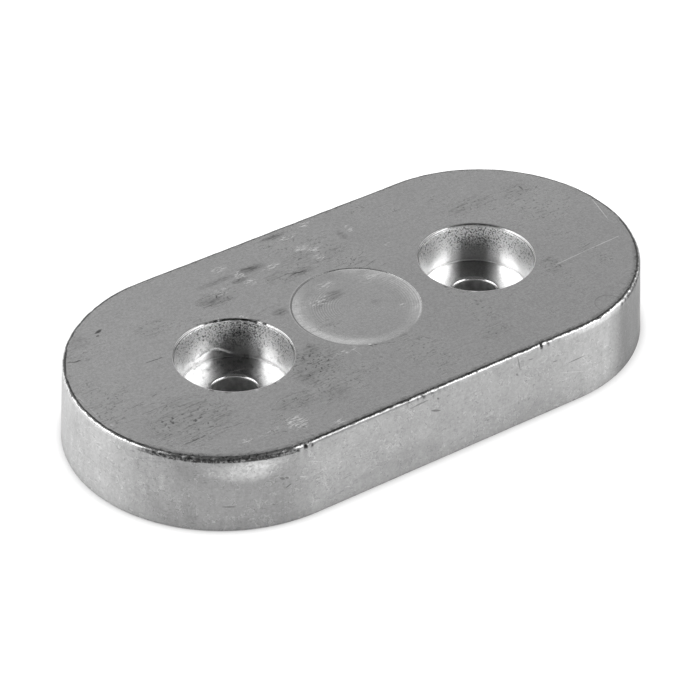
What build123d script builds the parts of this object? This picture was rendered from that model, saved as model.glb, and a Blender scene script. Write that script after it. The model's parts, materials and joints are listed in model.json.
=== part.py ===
from build123d import *
import math
import os

# Bolt-on hull anode: one sacrificial casting with a slot-shaped outline. Two bolts hold it flat on
# the hull, and their heads sit below the outer face, each in its own round pocket.
# Millimetres. The origin is the centre of the hull face, +X runs along the casting and +Z points
# away from the hull. Widths and lengths of the body are those of the hull face.

# body
BODY_LENGTH = 204.0
BODY_WIDTH = 103.0
BODY_THICKNESS = 27.0
BODY_DRAFT = 3.2             # degrees; the sides lean in as they leave the hull
OUTER_EDGE_RADIUS = 1.4
HULL_EDGE_CHAMFER = 0.4

# pockets for the bolt heads, and the holes below them
BOLT_SPACING = 93.5
POCKET_DIAMETER = 37.0       # at the outer face, before its lip is rounded
POCKET_DEPTH = 13.7
POCKET_DRAFT = 4.0           # degrees; the wall leans out towards the outer face
POCKET_LIP_RADIUS = 0.9
HOLE_DIAMETER = 14.5         # a coarse clearance hole for an M12 bolt
HOLE_RIM_RADIUS = 1.0

# shallow round imprint that a turned plug in the mould leaves between the pockets
IMPRINT_DIAMETER = 41.4
IMPRINT_DEPTH = 0.4          # at its flat middle
IMPRINT_STEP = 0.2           # the upright part of its edge
IMPRINT_DISH_WIDTH = 4.0     # the gentle slope from the step to the flat middle
IMPRINT_SHIFT_X = -0.6       # the plug sits a little off the casting's centre
IMPRINT_SHIFT_Y = -0.3

# how far the shapes that cut the casting run past the face that they open
CUT_OVERRUN = 2.0
# how near an edge has to lie to where it is looked for
TOLERANCE = 0.01


def sideways(rise, degrees_from_upright):
    """How far a leaning wall moves sideways over a rise."""
    return rise * math.tan(math.radians(degrees_from_upright))


POCKET_FLOOR = BODY_THICKNESS - POCKET_DEPTH
POCKET_FLOOR_RADIUS = POCKET_DIAMETER / 2 - sideways(POCKET_DEPTH, POCKET_DRAFT)


def circle_at(body, centre_x, circle_radius, height):
    """The circular edge around a bolt's axis with the given radius and height."""
    def is_wanted(edge):
        off_axis = math.hypot(edge.arc_center.X - centre_x, edge.arc_center.Y)
        off_size = abs(edge.radius - circle_radius) + abs(edge.arc_center.Z - height)
        return off_axis + off_size < TOLERANCE
    return body.edges().filter_by(GeomType.CIRCLE).filter_by(is_wanted)


def turned_cutter(outline):
    """A solid of revolution about Z from (radius, height) points."""
    return revolve(make_face(Plane.XZ * Polyline(*outline, close=True)), Axis.Z)


def body_blank():
    """The casting without its pockets: a slot drawn up with draft, its two outlines softened."""
    outline = SlotOverall(BODY_LENGTH, BODY_WIDTH)
    blank = extrude(outline, amount=BODY_THICKNESS, taper=BODY_DRAFT)
    blank = fillet(blank.faces().sort_by(Axis.Z)[-1].edges(), OUTER_EDGE_RADIUS)
    return chamfer(blank.faces().sort_by(Axis.Z)[0].edges(), HULL_EDGE_CHAMFER)


def bolt_cutter():
    """The room for one bolt: its hole, and the pocket around its head."""
    hole = HOLE_DIAMETER / 2
    overrun_radius = POCKET_DIAMETER / 2 + sideways(CUT_OVERRUN, POCKET_DRAFT)
    return turned_cutter([
        (0, -CUT_OVERRUN),
        (hole, -CUT_OVERRUN),
        (hole, POCKET_FLOOR),
        (POCKET_FLOOR_RADIUS, POCKET_FLOOR),
        (overrun_radius, BODY_THICKNESS + CUT_OVERRUN),
        (0, BODY_THICKNESS + CUT_OVERRUN),
    ])


def imprint_cutter():
    """The shallow dished disc that the mould's plug leaves in the outer face."""
    top = BODY_THICKNESS + CUT_OVERRUN
    middle = BODY_THICKNESS - IMPRINT_DEPTH
    rim = IMPRINT_DIAMETER / 2
    disc = turned_cutter([
        (0, middle),
        (rim - IMPRINT_DISH_WIDTH, middle),
        (rim, BODY_THICKNESS - IMPRINT_STEP),
        (rim, top),
        (0, top),
    ])
    return Pos(IMPRINT_SHIFT_X, IMPRINT_SHIFT_Y, 0) * disc


def anode_body():
    """The whole casting."""
    mouth = POCKET_DIAMETER / 2
    hole = HOLE_DIAMETER / 2
    body = body_blank() - imprint_cutter()
    for x in (-BOLT_SPACING / 2, BOLT_SPACING / 2):
        body -= Pos(x, 0, 0) * bolt_cutter()
        body = fillet(circle_at(body, x, mouth, BODY_THICKNESS), POCKET_LIP_RADIUS)
        body = fillet(circle_at(body, x, hole, POCKET_FLOOR), HOLE_RIM_RADIUS)
    return body


os.makedirs("parts", exist_ok=True)
export_step(anode_body(), "parts/anode_body.step")
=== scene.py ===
import json
import math

import bpy
import numpy as np
from mathutils import Matrix, Vector
from mathutils.geometry import delaunay_2d_cdt


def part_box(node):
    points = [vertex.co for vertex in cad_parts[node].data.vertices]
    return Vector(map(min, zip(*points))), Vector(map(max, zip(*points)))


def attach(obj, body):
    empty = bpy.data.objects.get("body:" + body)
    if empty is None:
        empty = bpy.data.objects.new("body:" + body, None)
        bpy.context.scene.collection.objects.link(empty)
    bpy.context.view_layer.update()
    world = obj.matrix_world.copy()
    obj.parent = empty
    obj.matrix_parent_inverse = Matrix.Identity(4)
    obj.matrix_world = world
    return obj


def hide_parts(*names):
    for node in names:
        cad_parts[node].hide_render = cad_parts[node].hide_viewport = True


# A bright zinc hull anode, as it comes out of its mould. The casting is one mesh with the CAD
# model's form, fine enough to carry the ragged edges, dents and folds of a real casting. Lengths
# are millimetres while the mesh is made, and metres once it is an object.

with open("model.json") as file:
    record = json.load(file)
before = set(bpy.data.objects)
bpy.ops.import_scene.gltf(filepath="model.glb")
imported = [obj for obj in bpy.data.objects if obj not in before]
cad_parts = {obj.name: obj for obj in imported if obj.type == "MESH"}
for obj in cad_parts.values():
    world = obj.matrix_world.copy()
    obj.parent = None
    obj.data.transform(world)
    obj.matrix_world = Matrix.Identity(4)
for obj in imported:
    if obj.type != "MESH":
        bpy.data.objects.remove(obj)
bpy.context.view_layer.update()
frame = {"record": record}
MM = 0.001

# ---------------------------------------------------------------- sizes, as in the CAD model

CAD_LOW, CAD_HIGH = (np.array(corner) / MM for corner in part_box("anode_body"))
mounts = {mount["name"]: mount for mount in frame["record"]["mounts"]}

THICKNESS = CAD_HIGH[2]
HOLE_RADIUS = mounts["bolt_hole_a"]["dims"]["r_mm"]
BOLT_SPACING = mounts["bolts"]["dims"]["spacing_x_mm"]
POCKET_FLOOR = mounts["bolt_seat_a"]["pos_m"][2] / MM
POCKET_DEPTH = THICKNESS - POCKET_FLOOR
POCKET_X = (-BOLT_SPACING / 2, BOLT_SPACING / 2)

DRAFT = math.radians(3.2)
HULL_CHAMFER = 0.4
EDGE_RADIUS = 1.4
HALF_LENGTH = CAD_HIGH[0] + HULL_CHAMFER * math.sin(DRAFT)
HALF_WIDTH = CAD_HIGH[1] + HULL_CHAMFER * math.sin(DRAFT)
HALF_STRAIGHT = HALF_LENGTH - HALF_WIDTH

POCKET_RADIUS = 18.5
POCKET_DRAFT = math.radians(4.0)
LIP_WIDTH = 0.9
LIP_DEPTH = 1.8
RIM_RADIUS = 1.0
CORNER_RADII = (0.06, 0.28)       # between wall and seat, in pocket A and pocket B

IMPRINT_RADIUS = 20.7
IMPRINT_STEP = 0.2
IMPRINT_DEPTH = 0.4
IMPRINT_DISH_WIDTH = 4.0
IMPRINT_EDGE_RADIUS = 0.12
IMPRINT_CENTRE = np.array([-0.6, -0.3])

TOP_HALF_WIDTH = HALF_WIDTH - THICKNESS * math.tan(DRAFT)   # where the side meets the outer face
FRONT_SIDE = (-20.0, -30.0)       # the front side fades in between these y
POCKET_A_SIDE = (-20.0, -24.0)    # and what is only in pocket A between these x

# how finely the mesh is divided: points, then rows and steps, then spacings in millimetres
STRAIGHT_POINTS = 226             # along each straight side
END_POINTS = 362                  # round each end
CIRCLE_POINTS = 256               # round the pockets and the imprint
EDGE_STEPS = 9
SIDE_ROWS = 15
LIP_STEPS = 9
WALL_ROWS = 30
CORNER_STEPS = 3
SEAT_ROWS = 9
RIM_STEPS = 5
BORE_ROWS = 4
IMPRINT_EDGE_STEPS = 2
IMPRINT_RINGS = 26
FACE_SPACING = 0.95               # between the points of the outer face
HULL_SPACING = 2.6                # between the points of the hull face
FACE_GUARD = 0.07                 # a narrow band that keeps the outer face flat up to its edges
CORNER_GUARD = 0.05               # the same beside the corner of a pocket
EDGE_GAP = 0.6                    # from an edge to the first row of points, in spacings


# ---------------------------------------------------------------- smooth noise for the mesh

class Noise:
    """Repeatable smooth noise, about -1 to 1, over points in millimetres."""

    def __init__(self, seed):
        random = np.random.RandomState(seed)
        self.order = np.tile(random.permutation(256), 3)
        slopes = random.normal(size=(256, 3))
        self.slopes = slopes / np.linalg.norm(slopes, axis=1)[:, None]

    def __call__(self, points, size):
        places = np.asarray(points, float) / size
        cell = np.floor(places).astype(int)
        inside = places - cell
        ease = inside ** 3 * (inside * (inside * 6 - 15) + 10)
        cell = cell & 255
        total = np.zeros(len(places))
        for dx in (0, 1):
            for dy in (0, 1):
                for dz in (0, 1):
                    key = self.order[self.order[cell[:, 0] + dx] + cell[:, 1] + dy]
                    slope = self.slopes[self.order[key + cell[:, 2] + dz] & 255]
                    reach = inside - (dx, dy, dz)
                    share = np.prod(np.where((dx, dy, dz), ease, 1 - ease), axis=1)
                    total += share * (slope * reach).sum(1)
        return total * 1.6                 # about -1 to 1 with this factor


def soft_step(value, start, end):
    """0 before start, 1 after end, and smooth between them."""
    t = np.clip((value - start) / (end - start), 0, 1)
    return t * t * (3 - 2 * t)


# ---------------------------------------------------------------- profiles of the casting

def arc(centre, radius, start, end, steps):
    """Points (across, height) along an arc, both ends included, angles in degrees."""
    angles = np.radians(np.linspace(start, end, steps + 1))
    return np.stack([centre[0] + radius * np.cos(angles), centre[1] + radius * np.sin(angles)], 1)


def line(start, end, steps):
    """Points along a line, with neither end."""
    shares = np.linspace(0, 1, steps + 1)[1:-1, None]
    return np.asarray(start) + shares * (np.asarray(end) - np.asarray(start))


def side_profile():
    """(outward offset, height) from the outer face, round its edge and down to the hull face."""
    centre_z = THICKNESS - EDGE_RADIUS
    centre_out = -EDGE_RADIUS / math.cos(DRAFT) - centre_z * math.tan(DRAFT)
    edge = arc((centre_out, centre_z), EDGE_RADIUS, 90, math.degrees(DRAFT), EDGE_STEPS)
    chamfer_top = (-HULL_CHAMFER * math.sin(DRAFT), HULL_CHAMFER * math.cos(DRAFT))
    wall = line(edge[-1], chamfer_top, SIDE_ROWS)
    return np.vstack([edge[0] - (FACE_GUARD, 0), edge, wall, [chamfer_top, (-HULL_CHAMFER, 0)]])


def pocket_wall(depth):
    """The radius of a pocket's wall at a depth below the outer face."""
    return POCKET_RADIUS - depth * math.tan(POCKET_DRAFT)


def pocket_profile(corner_radius):
    """(radius, height) from the outer face, over the lip, down the pocket and out of the hole. The
    lip is a quarter of an ellipse."""
    lean = math.degrees(POCKET_DRAFT)
    lip = arc((LIP_WIDTH, -1), 1, 90, 180 - lean, LIP_STEPS) * (LIP_WIDTH, LIP_DEPTH)
    lip += (pocket_wall(LIP_DEPTH) - lip[-1][0], THICKNESS)
    centre_z = POCKET_FLOOR + corner_radius
    centre_out = pocket_wall(THICKNESS - centre_z) - corner_radius / math.cos(POCKET_DRAFT)
    corner = arc((centre_out, centre_z), corner_radius, -lean, -90, CORNER_STEPS)
    rim_centre = (HOLE_RADIUS + RIM_RADIUS, POCKET_FLOOR - RIM_RADIUS)
    rim = arc(rim_centre, RIM_RADIUS, 90, 180, RIM_STEPS)
    exit_point = (HOLE_RADIUS, 0)
    wall_end = corner[0] + (CORNER_GUARD * math.sin(POCKET_DRAFT), CORNER_GUARD)
    floor_start = corner[-1] - (CORNER_GUARD, 0)
    return np.vstack([
        lip[0] + (FACE_GUARD, 0), lip, line(lip[-1], wall_end, WALL_ROWS), [wall_end], corner,
        [floor_start], line(floor_start, rim[0], SEAT_ROWS), rim,
        line(rim[-1], exit_point, BORE_ROWS), [exit_point],
    ])


def imprint_profile():
    """(radius, height) from the outer face down the imprint's step and over its dish, to a ring of
    1 mm round its middle. The step leans in by 0.05 mm."""
    edge_centre = (IMPRINT_RADIUS + IMPRINT_EDGE_RADIUS, THICKNESS - IMPRINT_EDGE_RADIUS)
    edge = arc(edge_centre, IMPRINT_EDGE_RADIUS, 90, 180, IMPRINT_EDGE_STEPS)
    radii = np.linspace(IMPRINT_RADIUS - 0.05, 1.0, IMPRINT_RINGS)
    inward = soft_step(radii, IMPRINT_RADIUS, IMPRINT_RADIUS - IMPRINT_DISH_WIDTH)
    depths = IMPRINT_STEP + (IMPRINT_DEPTH - IMPRINT_STEP) * inward
    dish = np.stack([radii, THICKNESS - depths], 1)
    return np.vstack([edge[0] + (FACE_GUARD, 0), edge, dish])


# ---------------------------------------------------------------- the casting's mesh

class MeshMaker:
    """Collects points and faces, and shares the points of loops that patches have in common."""

    def __init__(self):
        self.points = []
        self.faces = []

    def add(self, points):
        start = len(self.points)
        self.points.extend(np.asarray(points, float).tolist())
        return np.arange(start, len(self.points))

    def band(self, first, second):
        """Quads between two closed loops of equal length."""
        for a, b, c, d in zip(first, np.roll(first, -1), np.roll(second, -1), second):
            self.faces.append((a, b, c, d))

    def cap(self, loop, centre):
        """A fan of triangles from a loop to one point."""
        for a, b in zip(loop, np.roll(loop, -1)):
            self.faces.append((a, b, centre))

    def plate(self, outer, holes, height, spacing, face_up):
        """A flat face between loops that are there already, filled with even triangles."""
        xy = np.array(self.points)[:, :2]
        loops = [outer] + holes
        known = np.concatenate(loops)
        inner = plate_points(xy[outer], [xy[hole] for hole in holes], spacing)
        edges, start = [], 0
        for loop in loops:
            ends = np.arange(start, start + len(loop))
            edges.extend(zip(ends.tolist(), np.roll(ends, -1).tolist()))
            start += len(loop)
        flat = [Vector(p) for p in np.vstack([xy[known], inner]).tolist()]
        found, _, triangles, sources, _, _ = delaunay_2d_cdt(flat, edges, [], 0, 1e-6, True)
        added = self.add(np.c_[inner, np.full(len(inner), height)])
        index = np.concatenate([known, added])
        names = index[[source[0] for source in sources]]
        where = np.array([tuple(p) for p in found])
        triangles = np.array(triangles)
        middles = where[triangles].mean(1)
        for hole in holes:                 # the triangles that fill the holes are left out
            centre, radius = loop_circle(xy[hole])
            solid = np.linalg.norm(middles - centre, axis=1) > radius * 0.9995
            triangles, middles = triangles[solid], middles[solid]
        corners = names[triangles] if face_up else names[triangles][:, ::-1]
        self.faces.extend(map(tuple, corners.tolist()))


def slot_distance(xy):
    """Distance from the centre line of the slot outline."""
    beyond = np.maximum(np.abs(xy[:, 0]) - HALF_STRAIGHT, 0)
    return np.hypot(beyond, xy[:, 1])


def loop_circle(loop):
    """The centre and mean radius of a round loop."""
    centre = loop.mean(0)
    return centre, np.linalg.norm(loop - centre, axis=1).mean()


def plate_points(outer, holes, spacing):
    """An even triangular grid inside a slot outline and outside round holes."""
    reach = slot_distance(outer).mean() - EDGE_GAP * spacing
    rows = np.arange(-HALF_WIDTH, HALF_WIDTH, spacing * math.sqrt(3) / 2)
    columns = np.arange(-HALF_LENGTH, HALF_LENGTH, spacing)
    x, y = np.meshgrid(columns, rows)
    x[1::2] += spacing / 2
    grid = np.stack([x.ravel(), y.ravel()], 1)
    keep = slot_distance(grid) < reach
    for hole in holes:
        centre, radius = loop_circle(hole)
        keep &= np.linalg.norm(grid - centre, axis=1) > radius + EDGE_GAP * spacing
    return grid[keep]


def slot_stations(count_straight, count_round):
    """Centre-line points and outward directions around the slot outline, counter-clockwise."""
    centres, outward = [], []
    for side in (1, -1):
        for angle in np.linspace(-90, 90, count_round, endpoint=False):
            turn = math.radians(angle)
            centres.append((side * HALF_STRAIGHT, 0))
            outward.append((side * math.cos(turn), side * math.sin(turn)))
        for share in np.linspace(1, -1, count_straight, endpoint=False):
            centres.append((side * share * HALF_STRAIGHT, 0))
            outward.append((0, side))
    return np.array(centres), np.array(outward)


def casting_mesh():
    """The whole casting as points and faces."""
    maker = MeshMaker()
    centres, outward = slot_stations(STRAIGHT_POINTS, END_POINTS)
    side_loops = []
    for offset, height in side_profile():
        ring = centres + (HALF_WIDTH + offset) * outward
        side_loops.append(maker.add(np.c_[ring, np.full(len(ring), height)]))
    for upper, lower in zip(side_loops, side_loops[1:]):
        maker.band(lower, upper)

    turn = np.linspace(0, 2 * math.pi, CIRCLE_POINTS, endpoint=False)
    circle = np.stack([np.cos(turn), np.sin(turn)], 1)
    mouths, exits = [], []
    for pocket_x, corner_radius in zip(POCKET_X, CORNER_RADII):
        loops = [maker.add(np.c_[circle * r + (pocket_x, 0), np.full(len(circle), z)])
                 for r, z in pocket_profile(corner_radius)]
        for upper, lower in zip(loops, loops[1:]):
            maker.band(upper, lower)
        mouths.append(loops[0])
        exits.append(loops[-1])

    loops = [maker.add(np.c_[circle * r + IMPRINT_CENTRE, np.full(len(circle), z)])
             for r, z in imprint_profile()]
    for upper, lower in zip(loops, loops[1:]):
        maker.band(upper, lower)
    middle = maker.add([(*IMPRINT_CENTRE, THICKNESS - IMPRINT_DEPTH)])
    maker.cap(loops[-1], middle[0])

    maker.plate(side_loops[0], mouths + [loops[0]], THICKNESS, FACE_SPACING, True)
    maker.plate(side_loops[-1], exits, 0.0, HULL_SPACING, False)
    return np.array(maker.points), maker.faces


# ---------------------------------------------------------------- what casting and handling left

# rough stretches of the outer edge on its front side: (middle x, half length, how rough)
ROUGH_EDGES = [(-55, 6, 0.28), (-80, 17, 0.17), (-11, 9, 0.18), (38, 6, 0.10), (78, 14, 0.14)]

# a nick in that edge
NICK_X = 34.8
NICK_WIDTH = 0.3
NICK_DEPTH = 0.25

# an old crease in the wall of pocket A: (degrees round the pocket, depth below the outer face)
CREASE = np.array([(57, 13.4), (61, 12.8), (65, 12.2), (69, 11.5), (73, 10.9), (77, 10.5),
                   (81, 10.3), (85, 10.4), (89, 10.8), (94, 11.4), (103, 12.3)])
RIDGE_HEIGHT, RIDGE_WIDTH = 0.15, 0.36
HOLLOW_DEPTH, HOLLOW_WIDTH, HOLLOW_ABOVE_RIDGE = 0.07, 0.4, 0.8

# shallow marks of ejector pins on the outer face: (x, y, radius, how dark inside, and in its ring)
PIN_MARKS = [(-83.4, 31.9, 3.5, 0.08, 0.05), (65.9, -44.5, 4.4, 0.0, 0.18)]
PIN_DEPTH = 0.03

ROUGH_LIP_ANGLE = 52              # the middle of the rough part of pocket A's lip, in degrees
SKIN = 0.06                       # how far the surface is set back, to stay in the CAD model's box
SHARP_ANGLE = 38                  # edges turned more than this are shaded sharp, in degrees
SEEDS = (11, 23, 37)              # of the slow, middle and fine unevenness


def around_pocket(points, pocket_x):
    """Degrees round a pocket's axis, and distance from that axis."""
    x, y = points[:, 0] - pocket_x, points[:, 1]
    return np.degrees(np.arctan2(y, x)), np.hypot(x, y)


def edge_wear(points, noises):
    """How far the outer edge is moved by its raggedness, its burrs and the nick in it. Each noise
    is given the size of its bumps, and multiplied by their height."""
    slow, middle, fine = noises
    corner = np.hypot(slot_distance(points[:, :2]) - TOP_HALF_WIDTH, points[:, 2] - THICKNESS)
    near = soft_step(corner, 4.5, 0.8)
    move = near * (0.06 * slow(points, 11) + 0.05 * middle(points, 4) + 0.03 * fine(points, 1.7))
    front = soft_step(points[:, 1], *FRONT_SIDE)
    for middle_x, half, height in ROUGH_EDGES:
        within = soft_step(np.abs(points[:, 0] - middle_x), half, half * 0.4)
        rough = fine(points, 1.3) + 0.6 * middle(points, 2.4)
        move += near * front * within * height * rough
    nick = np.exp(-((points[:, 0] - NICK_X) / NICK_WIDTH) ** 2)
    move -= NICK_DEPTH * nick * front * soft_step(corner, 2.2, 1.2)
    return move


def pocket_wear(points, noises):
    """How far the pockets' walls and lips are moved by unevenness, and pocket A's by its crease."""
    slow, middle, fine = noises
    move = np.zeros(len(points))
    for index, pocket_x in enumerate(POCKET_X):
        angle, radius = around_pocket(points, pocket_x)
        depth = THICKNESS - points[:, 2]
        inside = soft_step(radius, POCKET_RADIUS + 1.4, POCKET_RADIUS + 0.4)
        inside *= soft_step(radius, HOLE_RADIUS + 1, HOLE_RADIUS + 2)
        move += inside * (0.05 * slow(points, 9) + 0.02 * middle(points, 3.5))
        lip = inside * soft_step(depth, 2.2, 0.9)
        move += lip * 0.03 * middle(points, 3)
        if index == 0:
            far = soft_step(np.abs(angle - ROUGH_LIP_ANGLE), 45, 25)
            move += lip * far * 0.2 * fine(points, 1.4)
            below = depth - np.interp(angle, CREASE[:, 0], CREASE[:, 1])
            along = soft_step(angle, CREASE[0, 0], 62) * soft_step(angle, CREASE[-1, 0], 84)
            above = below + HOLLOW_ABOVE_RIDGE
            fold = (RIDGE_HEIGHT * np.exp(-(below / RIDGE_WIDTH) ** 2)
                    - HOLLOW_DEPTH * np.exp(-(above / HOLLOW_WIDTH) ** 2))
            wall = soft_step(radius, POCKET_RADIUS - 2.5, POCKET_RADIUS - 1.5)
            move += along * wall * fold * inside
    return move


def worn(points, normals):
    """The points moved along their normals, always a little into the metal."""
    noises = slow, middle, _ = [Noise(seed) for seed in SEEDS]
    move = 0.05 * slow(points, 34) + 0.02 * middle(points, 12)
    move += edge_wear(points, noises) + pocket_wear(points, noises)
    at_face = points[:, 2] > THICKNESS - 0.5
    for x, y, radius, _, _ in PIN_MARKS:
        away = np.hypot(points[:, 0] - x, points[:, 1] - y)
        move -= at_face * PIN_DEPTH * soft_step(away, radius + 0.5, radius - 0.5)
    moved = points + (move - SKIN)[:, None] * normals
    return np.clip(moved, CAD_LOW, CAD_HIGH)


def cast_anode():
    """The casting as a Blender object."""
    points, faces = casting_mesh()
    made = bpy.data.meshes.new("anode_casting")
    made.from_pydata(points.tolist(), [], faces)
    made.update()
    normals = np.array([tuple(n.vector) for n in made.vertex_normals])
    made.vertices.foreach_set("co", (worn(points, normals) * MM).ravel())
    made.validate()
    made.update()
    made.shade_smooth()
    made.set_sharp_from_angle(angle=math.radians(SHARP_ANGLE))
    anode = bpy.data.objects.new("anode_casting", made)
    bpy.context.scene.collection.objects.link(anode)
    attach(anode, "root")
    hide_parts("anode_body")
    return anode


# ---------------------------------------------------------------- shader building blocks

class Graph:
    """Short names for making and joining shader nodes, which take sockets, numbers and tuples. A
    mask is 1 on something and 0 off it. Lengths on the casting are millimetres."""

    def __init__(self, tree):
        self.tree = tree

    def node(self, kind, inputs=(), **settings):
        made = self.tree.nodes.new(kind)
        for name, value in settings.items():
            setattr(made, name, value)
        for name, value in dict(inputs).items():
            self.feed(made.inputs[name], value)
        return made

    def feed(self, socket, value):
        if isinstance(value, bpy.types.NodeSocket):
            self.tree.links.new(value, socket)
        elif isinstance(value, (tuple, list, Vector)) and socket.type == "RGBA":
            socket.default_value = (*value[:3], 1)
        else:
            socket.default_value = value

    def math(self, operation, a, b=0.0, c=0.0):
        made = self.node("ShaderNodeMath", operation=operation)
        for socket, value in zip(made.inputs, (a, b, c)):
            self.feed(socket, value)
        return made.outputs[0]

    def add(self, first, *rest):
        for value in rest:
            first = self.math("ADD", first, value)
        return first

    def times(self, first, *rest):
        for value in rest:
            first = self.math("MULTIPLY", first, value)
        return first

    def most(self, first, *rest):
        for value in rest:
            first = self.math("MAXIMUM", first, value)
        return first

    def absolute(self, value):
        return self.math("ABSOLUTE", value)

    def inverse(self, mask):
        """1 where a mask is 0, and 0 where it is 1."""
        return self.math("SUBTRACT", 1.0, mask)

    def scaled(self, value, factor, offset=0.0):
        """value * factor + offset."""
        return self.math("MULTIPLY_ADD", value, factor, offset)

    def gain(self, mask, change):
        """A factor that is 1 where a mask is 0, and 1 + change where it is 1."""
        return self.scaled(mask, change, 1.0)

    def vector(self, operation, a, b=(0, 0, 0)):
        made = self.node("ShaderNodeVectorMath", operation=operation)
        self.feed(made.inputs[0], a)
        self.feed(made.inputs[1], b)
        return made.outputs["Value" if operation in ("DOT_PRODUCT", "LENGTH") else "Vector"]

    def dot(self, a, b):
        return self.vector("DOT_PRODUCT", a, b)

    def longer(self, vector, factor):
        """A vector times a number."""
        made = self.node("ShaderNodeVectorMath", {"Scale": factor}, operation="SCALE")
        self.feed(made.inputs[0], vector)
        return made.outputs["Vector"]

    def length(self, *parts):
        """The length of a vector with up to three numbers as its parts."""
        joined = self.node("ShaderNodeCombineXYZ", dict(zip("XYZ", parts))).outputs[0]
        return self.vector("LENGTH", joined)

    def step(self, value, start, end, low=0.0, high=1.0):
        """low before start, high after end, and smooth between them. start may be above end."""
        made = self.node("ShaderNodeMapRange", interpolation_type="SMOOTHSTEP")
        if start > end:
            start, end, low, high = end, start, high, low
        for socket, number in zip(made.inputs, (value, start, end, low, high)):
            self.feed(socket, number)
        return made.outputs[0]

    def near(self, value, centre, outer, inner):
        """A mask of the values within inner of a centre, gone at outer from it."""
        return self.step(self.absolute(self.add(value, -centre)), outer, inner)

    def mix(self, share, a, b):
        """Numbers a and b mixed by share."""
        return self.scaled(share, self.math("SUBTRACT", b, a), a)

    def noise(self, place, size, detail=2.0, roughness=0.5):
        """Noise from 0 to 1 with features of a size in the units of place."""
        inputs = {"Vector": place, "Scale": 1 / size, "Detail": detail, "Roughness": roughness}
        return self.node("ShaderNodeTexNoise", inputs).outputs["Fac"]

    def drawn(self, place, sizes, detail=2.0, roughness=0.5):
        """Noise drawn out to a different size along each axis."""
        stretched = self.vector("MULTIPLY", place, tuple(1 / size for size in sizes))
        return self.noise(stretched, 1.0, detail, roughness)

    def blob(self, place, centre, radii):
        """1 at a centre and 0 on the ellipsoid around it with these radii."""
        offset = self.vector("SUBTRACT", place, centre)
        reach = self.vector("LENGTH", self.vector("MULTIPLY", offset, tuple(1 / r for r in radii)))
        return self.step(reach, 1.0, 0.15)

    def cut(self, place, start, end, half_width):
        """1 on a straight cut between two points, narrowing towards its ends, and 0 off it."""
        run = Vector(end) - Vector(start)
        offset = self.vector("SUBTRACT", place, start)
        share = self.dot(offset, run / run.length_squared)
        share = self.math("MINIMUM", self.most(share, 0.0), 1.0)
        off_line = self.vector("LENGTH", self.vector("SUBTRACT", offset, self.longer(run, share)))
        middle = self.times(share, self.inverse(share))
        width = self.scaled(middle, 3.0 * half_width, 0.3 * half_width)
        return self.step(self.math("DIVIDE", off_line, width), 1.0, 0.35)


def slot_reach(g, place):
    """Distance from the centre line of the slot outline, in millimetres."""
    along, across, _ = g.node("ShaderNodeSeparateXYZ", {"Vector": place}).outputs
    beyond = g.most(g.add(g.absolute(along), -HALF_STRAIGHT), 0.0)
    return g.length(beyond, across)


def direction(azimuth, elevation=0):
    """The unit vector from the casting towards a place. Azimuth 0 is along -Y, and 90 along +X."""
    a, e = math.radians(azimuth), math.radians(elevation)
    return Vector((math.sin(a) * math.cos(e), -math.cos(a) * math.cos(e), math.sin(e)))


# level directions round the casting
BACK = direction(145)
FAR_LEFT = direction(-170)
LEFT_END = direction(-84)
NEAR_END = direction(-38)
NEAR_EDGE = direction(-34)
FAR_RIGHT = direction(58)
UPPER_LEFT = direction(-125)
LEFT = direction(-80)


# ---------------------------------------------------------------- marks on the metal, in mm

# dark cuts in the outer face: (start x, start y, end x, end y, half width, darkness)
FACE_CUTS = [
    (-76.4, 33.7, -73.4, 34.4, 0.75, 0.8),
    (-77.3, 31.5, -76.0, 32.3, 0.5, 0.6),
    (-91.6, 25.3, -86.6, 23.6, 0.32, 0.9),
    (-86.8, 23.7, -82.6, 22.0, 0.22, 0.6),
    (-71.8, 11.7, -63.0, 11.1, 0.24, 0.9),
    (-90.8, -5.7, -80.0, -4.4, 0.18, 0.6),
    (-80.5, -4.3, -73.0, -2.8, 0.22, 0.7),
    (-85.6, -5.4, -72.3, -7.6, 0.2, 0.7),
    (-87.2, -9.7, -79.6, -9.8, 0.16, 0.5),
    (-84.8, -29.4, -72.0, -29.5, 0.24, 0.8),
    (-82.0, -28.0, -76.0, -28.2, 0.18, 0.6),
    (-70.0, -29.6, -62.7, -30.6, 0.2, 0.6),
    (-17.2, -14.7, -13.2, -16.9, 0.16, 0.7),
    (-11.8, -18.9, -0.4, -23.6, 0.18, 0.8),
    (8.5, 18.5, 19.4, 23.5, 0.16, 0.55),
    (13.7, 15.6, 19.2, 17.2, 0.2, 0.75),
    (18.3, 12.6, 21.5, 13.9, 0.14, 0.45),
    (-9.8, 26.9, -0.7, 23.1, 0.5, 0.4),
    (-8.7, 19.7, -8.2, 22.7, 0.3, 0.35),
    (83.0, 25.5, 82.8, 22.0, 0.45, 0.5),
    (85.5, 20.2, 88.6, 21.8, 0.35, 0.45),
]

# bright scratches in it: (start x, start y, end x, end y, half width, brightness)
FACE_SCRATCHES = [
    (-98.0, 11.9, -97.7, 4.6, 0.18, 0.5),
    (-97.7, 4.6, -98.0, -4.2, 0.18, 0.4),
    (-97.0, -8.6, -96.2, -9.6, 0.4, 0.5),
    (59.9, -18.5, 78.6, -17.4, 0.2, 0.9),
    (78.4, -17.4, 93.1, -16.9, 0.2, 1.0),
    (98.9, 7.6, 95.0, -8.1, 0.2, 0.9),
    (-14.7, -19.0, -14.3, -23.0, 0.22, 0.6),
    (-8.3, -21.8, -8.8, -25.0, 0.18, 0.45),
    (-9.5, -19.1, -8.6, -19.9, 0.45, 1.6),
    (8.0, -10.6, 8.7, -11.9, 0.4, 1.6),
]

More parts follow.
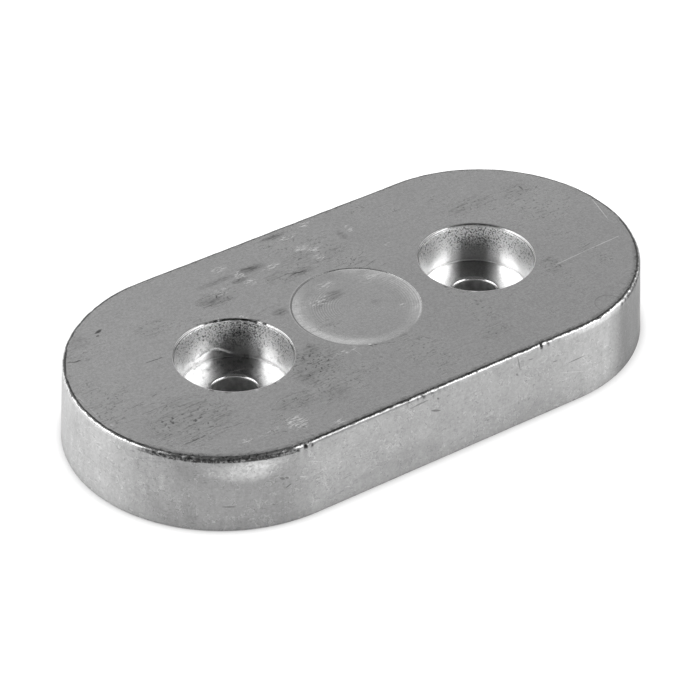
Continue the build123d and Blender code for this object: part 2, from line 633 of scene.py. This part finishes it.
# places scuffed by handling: (x, y, radius along x, radius along y, strength)
DARK_SCUFFS = [
    (-76, -20, 20, 17, 0.9), (-29, -18, 13, 13, 1.0), (27, -36, 9, 5, 0.8), (64, -18, 5, 8, 1.0),
    (80, 23, 9, 6, 0.7), (-45, -31, 14, 7, 0.7), (4, 30, 18, 9, 0.7), (-60, 26, 10, 6, 0.6),
    (62, 25, 16, 6, 0.7), (-12, 26, 8, 6, 0.8), (-85, 28, 12, 10, 0.4), (30, -5, 4, 8, 0.7),
    (-34, 28, 11, 6, 1.0),
]

# soft dark smudges on it and in its imprint, told as the scuffs are
SMUDGES = [
    (-17.3, 35.4, 7, 2.8, 1.2), (-23.3, 32.1, 4.5, 1.8, 1.0), (-30, 35.5, 10, 1.8, 0.7),
    (-5, 25, 6, 2.0, 1.1), (-1.5, 46.3, 7, 1.8, 1.1), (-22.5, 10.4, 3.5, 3.0, 0.9),
    (18, 35, 2.0, 4.5, 0.6), (-36, 28, 8, 5, 0.45), (-35, -23.5, 4, 6, 0.55),
    (-32, -34, 7, 6, 0.35), (-25.5, -11, 3, 5, 0.5),
    (-5.5, 8.0, 8.5, 2.0, 0.9), (-2.5, 9.6, 4.5, 2.6, 1.0), (6.0, -1.5, 3.5, 2.5, 0.35),
    (-10.5, 6.2, 4.0, 1.6, 0.8),
]

# places rubbed bright, told the same way
BRIGHT_SCUFFS = [
    (-50, -39.5, 5, 4.5, 1.0), (-67.2, -38.3, 2.6, 1.3, 0.8), (-59, -38.8, 7, 1.3, 0.25),
    (-39.3, -46.5, 2.5, 1.6, 0.8), (-11.4, 32.7, 4.5, 1.8, 1.0), (-21.8, 34.4, 2.4, 3.4, 1.0),
    (3, 43.4, 5, 1.2, 1.0), (2.6, 36.1, 4, 2.2, 0.9), (6, 33.1, 3.5, 2.0, 1.0),
    (5, 28.3, 3, 2.5, 0.8), (22, 36.5, 1.8, 2.6, 1.0), (11.4, 46.8, 3.2, 1.8, 1.0),
    (-32, 30, 4.5, 2.4, 0.8), (-26, 40.8, 4, 2.2, 0.6), (-21.3, 29.4, 3.5, 2.2, 0.5),
    (27, 22, 1.6, 2, 0.6), (-17, -18.5, 6, 1.6, 0.5), (-9, 8.5, 7, 4, 0.7),
    (-2, 15, 8, 3, 0.4), (12, 10, 6, 3, 0.35), (12, -8, 2, 2, 0.5),
]

# dark marks on the front side: (start x, start z, end x, end z, half width, darkness)
SIDE_CUTS = [
    (-62.6, 17.5, -61.2, 16.6, 0.6, 0.5), (-60.9, 17.2, -60.0, 16.6, 0.5, 0.5),
    (-61.0, 13.3, -59.2, 14.3, 0.3, 0.6), (-79.0, 9.3, -75.6, 9.2, 0.3, 0.6),
    (45.6, 15.7, 52.2, 15.8, 0.25, 0.65), (39.4, 18.6, 41.2, 18.3, 0.3, 0.5),
    (29.8, 23.2, 31.8, 22.9, 0.3, 0.5), (25.5, 26.3, 26.6, 20.7, 0.3, 0.5),
    (25.0, 19.9, 25.8, 19.1, 0.5, 0.5), (-15.5, 23.8, -8.6, 24.2, 0.4, 0.5),
    (-7.6, 19.7, -4.2, 18.4, 0.5, 0.6), (-5.4, 23.6, -4.7, 22.8, 0.4, 0.6),
]

# bright scratches on it, told the same way
SIDE_SCRATCHES = [
    (42.2, 13.3, 52.7, 9.7, 0.16, 0.6), (52.7, 9.7, 59.3, 9.6, 0.16, 0.5),
    (-56.2, 15.9, -54.2, 15.0, 0.3, 0.9), (-53.0, 20.5, -48.0, 18.0, 0.2, 0.4),
    (-40.4, 5.2, -38.4, 4.7, 0.3, 0.6),
]

# where the side is brighter or duller: (x, z, radius along x, radius along z, change of tone)
SIDE_PATCHES = [
    (-71, 21.6, 13.5, 4.8, 0.8), (-67, 24.2, 13, 2.6, 0.4), (-86.5, 22.5, 4.5, 6, -0.12),
    (-18, 7, 22, 5, -0.1), (28, 5, 22, 5, -0.1), (-45, 17, 8, 9, 0.1), (-33, 6.2, 7, 2, -0.12),
]

# bright scratches in pocket A: (start x, y, z, end x, y, z, half width, brightness)
POCKET_SCRATCHES = [
    (-51.7, 16.9, 13.7, -45.8, 17.8, 17.0, 0.22, 0.8),
    (-54.7, 15.7, 13.8, -49.3, 17.6, 16.2, 0.2, 0.6),
    (-36.9, 14.2, 13.4, -32.3, 9.7, 13.4, 0.3, 1.2),
    (-42.9, 8.4, 13.3, -37.6, 7.3, 13.3, 0.2, 1.2),
]

SCUFF_DEPTH = 3.0             # how far below the outer face a scuff still shows


def on_face(x, y):
    """A point of the outer face."""
    return x, y, THICKNESS


def on_side(x, z):
    """A point of the front side, once its y is left out."""
    return x, 0, z


def marked(g, place, marks, surface):
    """The strongest of some cuts. surface makes points from the pairs of numbers in a mark."""
    found = 0.0
    for a, b, c, d, half_width, strength in marks:
        cut = g.cut(place, surface(a, b), surface(c, d), half_width)
        found = g.most(found, g.times(cut, strength))
    return found


def scuffed(g, place, scuffs):
    """The strongest of some soft-edged patches on the outer face."""
    found = 0.0
    for x, y, radius_x, radius_y, strength in scuffs:
        patch = g.blob(place, on_face(x, y), (radius_x, radius_y, SCUFF_DEPTH))
        found = g.most(found, g.times(patch, strength))
    return found


# ---------------------------------------------------------------- material

# The side's lower tone is painted shade, and the pockets' higher tone painted light, on the same
# zinc as the face.
FACE_TONE = 0.56              # how much light each surface reflects
SIDE_TONE = 0.41
POCKET_TONE = 0.79
HOLE_TONE = 0.42
HOLE_ROUGHNESS = 0.6
TURNED_PITCH = 0.8            # between the rings that turning left in the imprint
TURNED_DEPTH = 0.0016
NO_OFFSET = (0.5, 0.5, 0.5)   # the middle of a noise's colour

# painted light and shade on the side, by the way it faces: (where, how squarely it has to face
# there to show and to be whole, change of tone). The side is painted lighter round the left end,
# and darker towards the near end and the far right.
PAINTED_SIDE_LIGHT = [
    (NEAR_END, 0.74, 0.93, -0.28), (FAR_RIGHT, 0.71, 0.86, -0.57), (LEFT_END, 0.8, 0.97, 0.24),
]


class Surface:
    """Places on the metal, the way it faces there, and a mask of each region."""

    def __init__(self, g):
        coordinates = g.node("ShaderNodeTexCoord")
        self.g = g
        self.place = g.longer(coordinates.outputs["Object"], 1 / MM)
        self.facing = coordinates.outputs["Normal"]
        self.level = g.vector("NORMALIZE", g.vector("MULTIPLY", self.facing, (1, 1, 0)))
        self.x, self.y, self.z = g.node("ShaderNodeSeparateXYZ", {"Vector": self.place}).outputs

        # from the axis of the nearer bolt: the distance, and how far towards two sides
        from_axis = g.add(g.absolute(self.x), -BOLT_SPACING / 2)
        self.bolt_reach = g.length(from_axis, self.y)
        from_nearer = g.times(from_axis, g.math("SIGN", self.x))
        self.to_back = g.add(g.times(from_nearer, BACK[0]), g.times(self.y, BACK[1]))
        self.to_far_left = g.add(g.times(from_nearer, FAR_LEFT[0]), g.times(self.y, FAR_LEFT[1]))

        # below the outer face, and inward from the line where the side would meet it
        self.depth = g.math("SUBTRACT", THICKNESS, self.z)
        self.inside = g.step(self.bolt_reach, POCKET_RADIUS + 0.8, POCKET_RADIUS + 0.3)
        self.hole = g.step(self.bolt_reach, HOLE_RADIUS + 0.7, HOLE_RADIUS + 0.2)
        self.edge_reach = g.math("SUBTRACT", TOP_HALF_WIDTH, slot_reach(g, self.place))
        outside = g.inverse(self.inside)
        self.face = g.times(g.step(self.z, THICKNESS - 0.9, THICKNESS - 0.35), outside)
        self.side = g.times(g.inverse(self.face), outside)

        # from the middle of the imprint
        offset = g.vector("SUBTRACT", self.place, (*IMPRINT_CENTRE, THICKNESS))
        self.imprint_reach = g.vector("LENGTH", g.vector("MULTIPLY", offset, (1, 1, 0)))
        within = g.step(self.imprint_reach, IMPRINT_RADIUS + 0.1, IMPRINT_RADIUS - 0.1)
        self.imprint = g.times(within, self.face)


def face_finish(s):
    """Tone, roughness and relief (mm) of the outer face and its imprint."""
    g = s.g
    wander = g.node("ShaderNodeTexNoise", {"Vector": s.place, "Scale": 0.35, "Detail": 2.0})
    ragged = g.vector("SUBTRACT", wander.outputs["Color"], NO_OFFSET)
    place = g.vector("ADD", s.place, g.longer(ragged, 1.3))
    clouds = g.noise(s.place, 17.0, 3.0, 0.55)
    drag = g.drawn(place, (7.0, 0.8, 4.0), 4.0, 0.62)
    strokes = g.drawn(place, (4.4, 0.42, 2.0), 3.0, 0.6)
    hairs = g.drawn(place, (11.0, 0.45, 4.0), 2.0, 0.55)
    specks = g.noise(place, 0.85, 1.0)
    mottle = g.noise(s.place, 0.8, 3.0, 0.6)

    # what handling left: dark strokes, hairs and specks in the scuffed places, and single marks
    handled = scuffed(g, place, DARK_SCUFFS)
    near_edge = g.step(s.edge_reach, 3.2, 0.4)
    outside = g.inverse(s.imprint)
    worn_here = g.most(g.times(handled, outside), g.times(near_edge, 0.9),
                       g.step(clouds, 0.5, 0.68, 0.08, 0.6))
    dark_strokes = g.times(g.step(strokes, 0.56, 0.64), worn_here)
    dark_hairs = g.times(g.step(hairs, 0.6, 0.67), g.most(handled, 0.1))
    dark_specks = g.times(g.step(specks, 0.61, 0.69), worn_here)
    smears = g.times(g.step(drag, 0.44, 0.62), g.most(handled, 0.15))
    cuts = g.times(marked(g, place, FACE_CUTS, on_face), g.step(strokes, 0.3, 0.45, 0.55, 1.0))
    smudges = g.times(scuffed(g, place, SMUDGES), g.step(strokes, 0.38, 0.58, 0.3, 1.0),
                      g.step(specks, 0.35, 0.6, 0.7, 1.1))
    pins = 0.0
    for x, y, radius, fill, outline in PIN_MARKS:
        away = g.vector("LENGTH", g.vector("SUBTRACT", s.place, (x, y, THICKNESS)))
        ring = g.near(away, radius, 0.35, 0.1)
        pins = g.most(pins, g.step(away, radius + 0.25, radius - 0.25, 0.0, fill),
                      g.times(ring, outline))
    scratches = marked(g, s.place, FACE_SCRATCHES, on_face)
    wisps = g.step(g.drawn(place, (2.4, 0.5, 1.0), 3.0, 0.65), 0.5, 0.61)
    bare_and_highlight = g.times(scuffed(g, place, BRIGHT_SCUFFS), wisps)

    tone = g.scaled(clouds, 0.14, 0.955)
    tone = g.add(tone, g.times(g.add(drag, -0.5), g.scaled(worn_here, 0.26, 0.07)),
                 g.scaled(mottle, 0.58, -0.29))
    tone = g.times(tone, g.step(s.x, 30.0, 5.0, 0.97, 1.0),
                   g.step(s.y, -20.0, 20.0, 0.985, 1.035), g.step(s.x, -20.0, -80.0, 1.0, 1.07),
                   g.gain(dark_strokes, -0.5), g.gain(dark_hairs, -0.5),
                   g.gain(dark_specks, -0.7), g.gain(smears, -0.2), g.gain(cuts, -0.95),
                   g.gain(smudges, -0.55), g.gain(pins, -1.0))
    tone = g.times(tone, g.gain(scratches, 0.75), g.gain(bare_and_highlight, 1.7))

    # painted shade in the corner of the imprint's step, painted highlights along its edges, and its
    # polished dish, brighter at its left and right as a painted reflection
    outward = g.vector("NORMALIZE", g.vector("SUBTRACT", s.place, (*IMPRINT_CENTRE, THICKNESS)))
    upper_left = g.dot(outward, UPPER_LEFT)
    left = g.dot(outward, LEFT)
    off_rim = g.add(s.imprint_reach, -IMPRINT_RADIUS)
    dirt_and_shade = g.times(g.near(off_rim, -0.02, 0.36, 0.12),
                   g.most(g.step(upper_left, 0.05, 0.75), 0.12),
                   g.step(mottle, 0.25, 0.5, 0.6, 1.0))
    rim_highlight = g.times(g.near(off_rim, 0.5, 0.3, 0.1), g.step(upper_left, 0.3, 0.9))
    inner_edge_highlight = g.times(g.near(off_rim, -0.4, 0.4, 0.1), g.step(left, -0.2, -0.75),
                       g.step(mottle, 0.3, 0.55, 0.6, 1.0))
    dish = g.times(g.step(off_rim, -6.5, -1.0), s.imprint, g.step(drag, 0.3, 0.6, 0.45, 1.0),
                   g.step(g.absolute(left), 0.2, 0.85))
    tone = g.times(tone, g.gain(dirt_and_shade, -0.62), g.gain(rim_highlight, 0.22), g.gain(inner_edge_highlight, 0.5),
                   g.gain(dish, 0.46), g.gain(s.imprint, 0.1))

    # rings that turning left in the imprint, clearest at its upper left and its right
    rings = g.math("SINE", g.times(s.imprint_reach, 2 * math.pi / TURNED_PITCH))
    left_rings = g.times(g.step(upper_left, 0.6, 0.95), g.near(off_rim, -10.5, 6.0, 2.5))
    right_rings = g.times(g.step(left, -0.45, -0.9), g.step(off_rim, -8.0, -4.0))
    turned = g.times(rings, s.imprint, g.step(mottle, 0.3, 0.6, 0.5, 1.0),
                     g.most(left_rings, g.times(right_rings, 0.7), 0.12))
    pitting = g.noise(s.place, 1.3, 3.0, 0.6)
    tone = g.times(tone, g.gain(turned, 0.2))
    relief = g.add(g.scaled(turned, TURNED_DEPTH),
                   g.times(pitting, g.step(s.edge_reach, 1.6, 0.2, 0.012, 0.08)))
    roughness = g.add(0.24, g.scaled(worn_here, 0.08))
    return tone, roughness, relief


def side_finish(s):
    """Tone, roughness and relief (mm) of the drafted side and the hull face."""
    g = s.g
    grain = g.noise(s.place, 1.3, 4.0, 0.7)
    fine_grain = g.noise(s.place, 0.6, 1.0)
    patches = g.noise(s.place, 10.0, 3.0, 0.6)
    smears = g.drawn(s.place, (2.2, 2.2, 11.0), 4.0, 0.65)
    cracked = g.noise(s.place, 6.0, 3.0, 0.6)
    off_bright_vein = g.absolute(g.add(cracked, -0.5))
    off_dark_vein = g.absolute(g.add(cracked, -0.518))
    specks = g.step(g.noise(s.place, 0.95, 1.0), 0.67, 0.76)
    dirt_and_shade = g.times(g.step(g.drawn(s.place, (2.4, 2.4, 0.7), 3.0, 0.6), 0.58, 0.7),
                   g.step(g.noise(s.place, 14.0, 2.0), 0.45, 0.62, 0.1, 1.0))
    on_front = g.step(s.y, *FRONT_SIDE)
    round_end = g.step(g.absolute(s.x), HALF_STRAIGHT - 6, HALF_STRAIGHT + 14, 0.35, 1.0)

    tone = g.add(g.scaled(grain, 0.5, 0.75), g.scaled(patches, 0.44, -0.22),
                 g.scaled(fine_grain, 0.3, -0.15),
                 g.times(g.scaled(smears, 0.3, -0.15), round_end))
    flecks = g.times(g.step(s.z, 1.1, 0.5), g.step(grain, 0.5, 0.58))
    tone = g.times(tone, g.gain(specks, -0.25), g.gain(dirt_and_shade, -0.25),
                   g.step(off_bright_vein, 0.003, 0.016, 1.2, 1.0),
                   g.step(off_dark_vein, 0.002, 0.012, 0.84, 1.0), g.gain(flecks, -0.35))
    flat_place = g.vector("MULTIPLY", s.place, (1, 0, 1))
    for x, z, radius_x, radius_z, change in SIDE_PATCHES:
        patch = g.blob(flat_place, (x, 0, z), (radius_x, 1, radius_z))
        patch = g.times(patch, on_front, g.step(grain, 0.3, 0.6, 0.6, 1.0))
        tone = g.times(tone, g.gain(patch, change))
    cuts = g.times(marked(g, flat_place, SIDE_CUTS, on_side), on_front)
    scratches = g.times(marked(g, flat_place, SIDE_SCRATCHES, on_side), on_front)
    tone = g.times(tone, g.gain(cuts, -0.8), g.gain(scratches, 0.5))

    # painted light and shade on the side, by the way it faces
    for where, start, end, change in PAINTED_SIDE_LIGHT:
        painted_light = g.step(g.dot(s.facing, where), start, end)
        tone = g.times(tone, g.gain(painted_light, change))
    # The side is darker towards the bottom, and painted shade darkens it where it faces farthest
    # right.
    low_down = g.step(s.z, 9.0, 0.0)
    farthest_right = g.step(g.dot(s.level, FAR_RIGHT), 0.87, 0.98)
    tone = g.times(tone, g.gain(low_down, -0.08), g.gain(farthest_right, -0.6),
                   g.step(s.x, 30.0, 60.0, 1.0, 1.15))

    relief = g.scaled(grain, 0.07)
    return tone, g.scaled(patches, 0.2, 0.22), relief


def pocket_finish(s):
    """Tone, roughness and relief (mm) of the pockets and their seats."""
    g = s.g
    lip = g.step(s.depth, 1.3, 0.9)
    below_lip = g.inverse(lip)
    wall = g.step(s.bolt_reach, POCKET_RADIUS - 1.6, POCKET_RADIUS - 1.2)
    mouth = g.times(g.step(s.depth, 12.5, 2.5), below_lip, wall)
    grain = g.noise(s.place, 0.5, 1.0, 0.5)
    coarse = g.noise(s.place, 2.6, 4.0, 0.7)

    # speckled at the mouth, with a painted highlight low on the side walls and painted shade on the
    # back wall
    backward = g.math("DIVIDE", s.to_back, s.bolt_reach)
    side_walls = g.step(g.absolute(backward), 0.96, 0.8)
    painted_back_shade = g.times(g.step(backward, 0.945, 0.985), wall, g.step(s.depth, 3.0, 5.5))
    speckle = g.times(g.add(grain, -0.5), g.scaled(mouth, 5.2, 0.5))
    pale_mouth = g.scaled(mouth, 0.12)
    clouds = g.scaled(coarse, 0.36, -0.18)
    painted_wall_highlight = g.times(wall, below_lip, side_walls, g.step(s.depth, 7.0, 10.0, 0.26, 0.3),
                     g.step(s.depth, 13.0, 11.5, 0.5, 1.0))
    tone = g.add(1.0, speckle, pale_mouth, clouds, painted_wall_highlight)
    tone = g.times(tone, g.gain(painted_back_shade, -0.45))

    # stains, most of them low in pocket A, and the duller seats
    in_a = g.step(s.x, *POCKET_A_SIDE, 0.35, 1.0)
    stains = g.times(g.step(coarse, 0.53, 0.64), g.step(s.depth, 4.0, 9.0, 0.4, 1.0), in_a)
    floor_of_a = g.times(g.step(s.depth, 8.0, 11.0), g.step(s.x, *POCKET_A_SIDE))
    tone = g.times(tone, g.gain(stains, -0.35), g.gain(floor_of_a, -0.12),
                   g.step(s.depth, 12.6, 13.4, 1.0, 0.74))

    # painted shade round the far side of each lip, and a painted dark line along the top of the rim
    # on its far half
    painted_lip_shade = g.times(g.step(backward, 0.84, 0.95), g.step(s.depth, 0.75, 0.5),
                    g.step(s.x, 0.0, -1.0, 0.55, 1.0),
                    g.step(g.noise(s.place, 1.1, 2.0, 0.6), 0.36, 0.56, 0.3, 1.0))
    far_left = g.math("DIVIDE", s.to_far_left, s.bolt_reach)
    outline = g.times(g.step(backward, -0.5, 0.0), g.step(far_left, -0.4, 0.7, 0.75, 0.96),
                      g.step(s.depth, 0.42, 0.24))
    tone = g.times(tone, g.gain(painted_lip_shade, -0.85), g.gain(outline, -1.0))

    # a darker patch high on pocket A's back wall and a lighter streak beside it
    dull = g.blob(s.place, (POCKET_X[0] + 12.0, 13.8, THICKNESS - 3.5), (7, 7, 6))
    streak = g.blob(s.place, (POCKET_X[0] + 8.4, 16.2, THICKNESS - 3.0), (1.3, 1.3, 5))
    tone = g.times(tone, g.gain(dull, -0.45), g.gain(streak, 0.4))
    for mark in POCKET_SCRATCHES:
        start, end, (half_width, brightness) = mark[:3], mark[3:6], mark[6:]
        tone = g.times(tone, g.gain(g.cut(s.place, start, end, half_width), brightness))

    far_lip = g.times(g.step(backward, 0.8, 0.95), lip, g.step(s.x, 0.0, 1.0, 0.2, 1.0))
    roughness = g.add(0.17, g.scaled(g.times(wall, below_lip), 0.12), g.scaled(mouth, 0.14),
                      g.scaled(far_lip, 0.15))
    relief = g.times(grain, g.scaled(mouth, 0.15, 0.008))
    return tone, roughness, relief


def edge_finish(s):
    """A factor for the tone of the outer edge: a dark line of painted shade along its top, a band
    under that which is partly rubbed metal and partly painted highlight, and painted shade in the
    nick. The painted shade is wide round the near end, and covers the whole edge round the right
    end."""
    g = s.g
    on_front = g.step(s.y, *FRONT_SIDE)
    ragged = g.noise(s.place, 1.6, 3.0, 0.6)
    on_edge = g.step(s.edge_reach, 1.45, 1.25)
    ragged_depth = g.add(s.depth, g.scaled(ragged, 0.9, -0.45))
    near_end = g.step(g.dot(s.level, NEAR_EDGE), 0.82, 0.93)
    right_end = g.step(g.dot(s.level, FAR_RIGHT), 0.76, 0.9)
    # painted shade: a soft dark band above the edge and a dark line along its top, widest round the
    # near end and the right end
    above = g.times(g.step(g.add(s.edge_reach, g.scaled(ragged, -3.0, 1.5)), 2.7, 1.3),
                    g.step(s.depth, 0.4, 0.25), on_front, g.scaled(near_end, -0.34, 0.42))
    thin = g.times(g.step(s.depth, 0.0, 0.05), g.step(ragged_depth, 0.42, 0.26),
                   g.scaled(near_end, -0.35, 0.8))
    broken = g.times(g.step(g.noise(s.place, 0.9, 3.0, 0.6), 0.36, 0.54, 0.35, 1.0),
                     g.step(ragged_depth, 0.5, 0.9, 0.5, 0.85))
    wide = g.times(g.step(s.depth, 0.15, 0.45), g.step(ragged_depth, 2.0, 1.7),
                   g.most(near_end, right_end), broken)
    # painted shade in the nick
    nick = g.times(g.near(s.x, NICK_X, 0.36, 0.16), on_front,
                   g.step(s.edge_reach, 1.7, 1.3), g.step(s.depth, 2.1, 1.7), 0.8)
    dirt_and_shade = g.most(g.times(g.most(thin, wide), on_edge), above, nick)

    # a band under the painted shade, partly rubbed metal and partly painted highlight, its tone
    # changed along x
    right_front = g.step(s.x, 38.0, 55.0)
    bright = g.add(-0.28, g.step(s.x, -12.0, 5.0, 0.0, 0.4), g.scaled(right_front, 0.35),
                   g.step(s.x, -55.0, -68.0, 0.0, 0.5))
    bare_and_highlight = g.times(g.step(s.depth, 0.3, 0.5), on_edge,
                   g.mix(right_front, g.step(s.depth, 1.5, 0.9), g.step(s.depth, 2.9, 1.4)),
                   g.inverse(g.most(near_end, right_end)))
    outside = g.inverse(s.inside)
    return g.times(g.gain(g.times(dirt_and_shade, outside), -1.0), g.gain(g.times(bare_and_highlight, outside), bright))


def cast_zinc():
    """Bright zinc under a thin dull oxide coat, scuffed and dirty outside and shiny in the pockets.
    """
    metal = bpy.data.materials.new("cast_zinc")
    metal.use_nodes = True
    g = Graph(metal.node_tree)
    s = Surface(g)
    regions = [(s.face, FACE_TONE, face_finish(s)), (s.side, SIDE_TONE, side_finish(s)),
               (s.inside, POCKET_TONE, pocket_finish(s))]
    tone = g.add(*(g.times(share, level, finish[0]) for share, level, finish in regions))
    roughness = g.add(*(g.times(share, finish[1]) for share, _, finish in regions))
    relief = g.add(*(g.times(share, finish[2]) for share, _, finish in regions))
    tone = g.times(tone, edge_finish(s))

    in_hole = g.times(s.hole, g.step(s.depth, POCKET_DEPTH + 0.3, POCKET_DEPTH + 1.2))
    hole_tone = g.scaled(g.noise(s.place, 2.5, 3.0, 0.7), 1.2 * HOLE_TONE, 0.4 * HOLE_TONE)
    tone = g.mix(in_hole, tone, hole_tone)
    roughness = g.mix(in_hole, roughness, HOLE_ROUGHNESS)

    bump = g.node("ShaderNodeBump", {"Strength": 1.0, "Distance": MM, "Height": relief})
    shader = metal.node_tree.nodes["Principled BSDF"]
    g.feed(shader.inputs["Base Color"], tone)
    g.feed(shader.inputs["Roughness"], roughness)
    g.feed(shader.inputs["Normal"], bump.outputs[0])
    shader.inputs["Metallic"].default_value = 1
    return metal


# ---------------------------------------------------------------- stage

CAMERA_AZIMUTH = -35.307      # degrees; 0 looks along +Y
CAMERA_ELEVATION = 36.857
CAMERA_DISTANCE = 1.062
CAMERA_ROLL = 0.3765
CAMERA_AIM = Vector((-0.00538, -0.00365, 0.0135))
CAMERA_LENS = 170.2           # millimetres
SENSOR_WIDTH = 36


def add_camera():
    """A long lens on the casting from its front left, well above it."""
    data = bpy.data.cameras.new("camera")
    data.lens = CAMERA_LENS
    data.sensor_width = SENSOR_WIDTH
    camera = bpy.data.objects.new("camera", data)
    camera.location = direction(CAMERA_AZIMUTH, CAMERA_ELEVATION) * CAMERA_DISTANCE
    turn = (CAMERA_AIM - camera.location).to_track_quat("-Z", "Y").to_matrix()
    roll = Matrix.Rotation(math.radians(CAMERA_ROLL), 3, "Z")
    camera.rotation_euler = (turn @ roll).to_euler()
    bpy.context.scene.collection.objects.link(camera)
    bpy.context.scene.camera = camera


# levels of light, where 1 is white
CEILING = 0.13
BACK_WALL = 0.5
HORIZON = 1.0
CAMERA_SIDE = 0.11
SOFTBOX = 3.2
FLOOR_GLOW = 0.75
FLOOR_TONE = 0.5
FLOOR_SIZE = 3.0              # metres, from its middle to each side


def sine(degrees):
    return math.sin(math.radians(degrees))


def cosine(degrees):
    return math.cos(math.radians(degrees))


def add_studio():
    """A pale room: white towards the horizon, greyer above, with a softbox at each side of the
    camera and a dark room behind the camera. Angles are degrees of height and round from the
    camera."""
    world = bpy.data.worlds.new("studio")
    bpy.context.scene.world = world
    world.use_nodes = True
    g = Graph(world.node_tree)
    look = g.node("ShaderNodeTexCoord").outputs["Generated"]
    height = g.dot(look, (0, 0, 1))
    level = g.vector("NORMALIZE", g.vector("MULTIPLY", look, (1, 1, 0)))
    facing = g.dot(level, direction(CAMERA_AZIMUTH))

    wall = g.step(height, sine(14), sine(30), HORIZON, BACK_WALL)
    room = g.mix(g.step(height, sine(42), sine(54)), wall, CEILING)
    dark_room = g.step(height, sine(2), sine(9), HORIZON, CAMERA_SIDE)
    behind_camera = g.step(facing, cosine(60), cosine(46))
    surround = g.mix(behind_camera, room, dark_room)

    box_heights = g.times(g.step(height, sine(19), sine(24)), g.step(height, sine(58), sine(50)))
    box_sides = g.times(g.step(facing, cosine(62), cosine(54), 1, 0),
                        g.step(facing, cosine(146), cosine(118)))
    light = g.add(surround, g.times(box_heights, box_sides, SOFTBOX))
    g.feed(world.node_tree.nodes["Background"].inputs["Color"], light)


def add_floor():
    """A white floor. It keeps the casting's contact shadow, and its glow fades out near the
    casting's outline and is gone beneath it, a painted shadow there.
    """
    corners = [(FLOOR_SIZE * x, FLOOR_SIZE * y, 0) for x, y in ((-1, -1), (1, -1), (1, 1), (-1, 1))]
    floor_mesh = bpy.data.meshes.new("floor")
    floor_mesh.from_pydata(corners, [], [(0, 1, 2, 3)])
    floor = bpy.data.objects.new("floor", floor_mesh)
    bpy.context.scene.collection.objects.link(floor)

    material = bpy.data.materials.new("white_floor")
    material.use_nodes = True
    floor_mesh.materials.append(material)
    g = Graph(material.node_tree)
    paper = material.node_tree.nodes["Principled BSDF"]
    paper.inputs["Base Color"].default_value = (FLOOR_TONE, FLOOR_TONE, FLOOR_TONE, 1)
    paper.inputs["Roughness"].default_value = 0.9
    paper.inputs["Specular IOR Level"].default_value = 0
    place = g.longer(g.node("ShaderNodeNewGeometry").outputs["Position"], 1 / MM)
    # the glow fades out near the casting: a painted shadow round its outline
    outside_painted_shadow = g.step(slot_reach(g, place), HALF_WIDTH - 4, HALF_WIDTH + 3)
    path = g.node("ShaderNodeLightPath").outputs
    seen = g.most(path["Is Camera Ray"], path["Is Glossy Ray"], path["Is Transmission Ray"])
    paper.inputs["Emission Color"].default_value = (1, 1, 1, 1)
    g.feed(paper.inputs["Emission Strength"], g.times(seen, outside_painted_shadow, FLOOR_GLOW))


casting = cast_anode()
casting.data.materials.append(cast_zinc())
add_camera()
add_studio()
add_floor()

bpy.context.scene.view_settings.view_transform = "Standard"
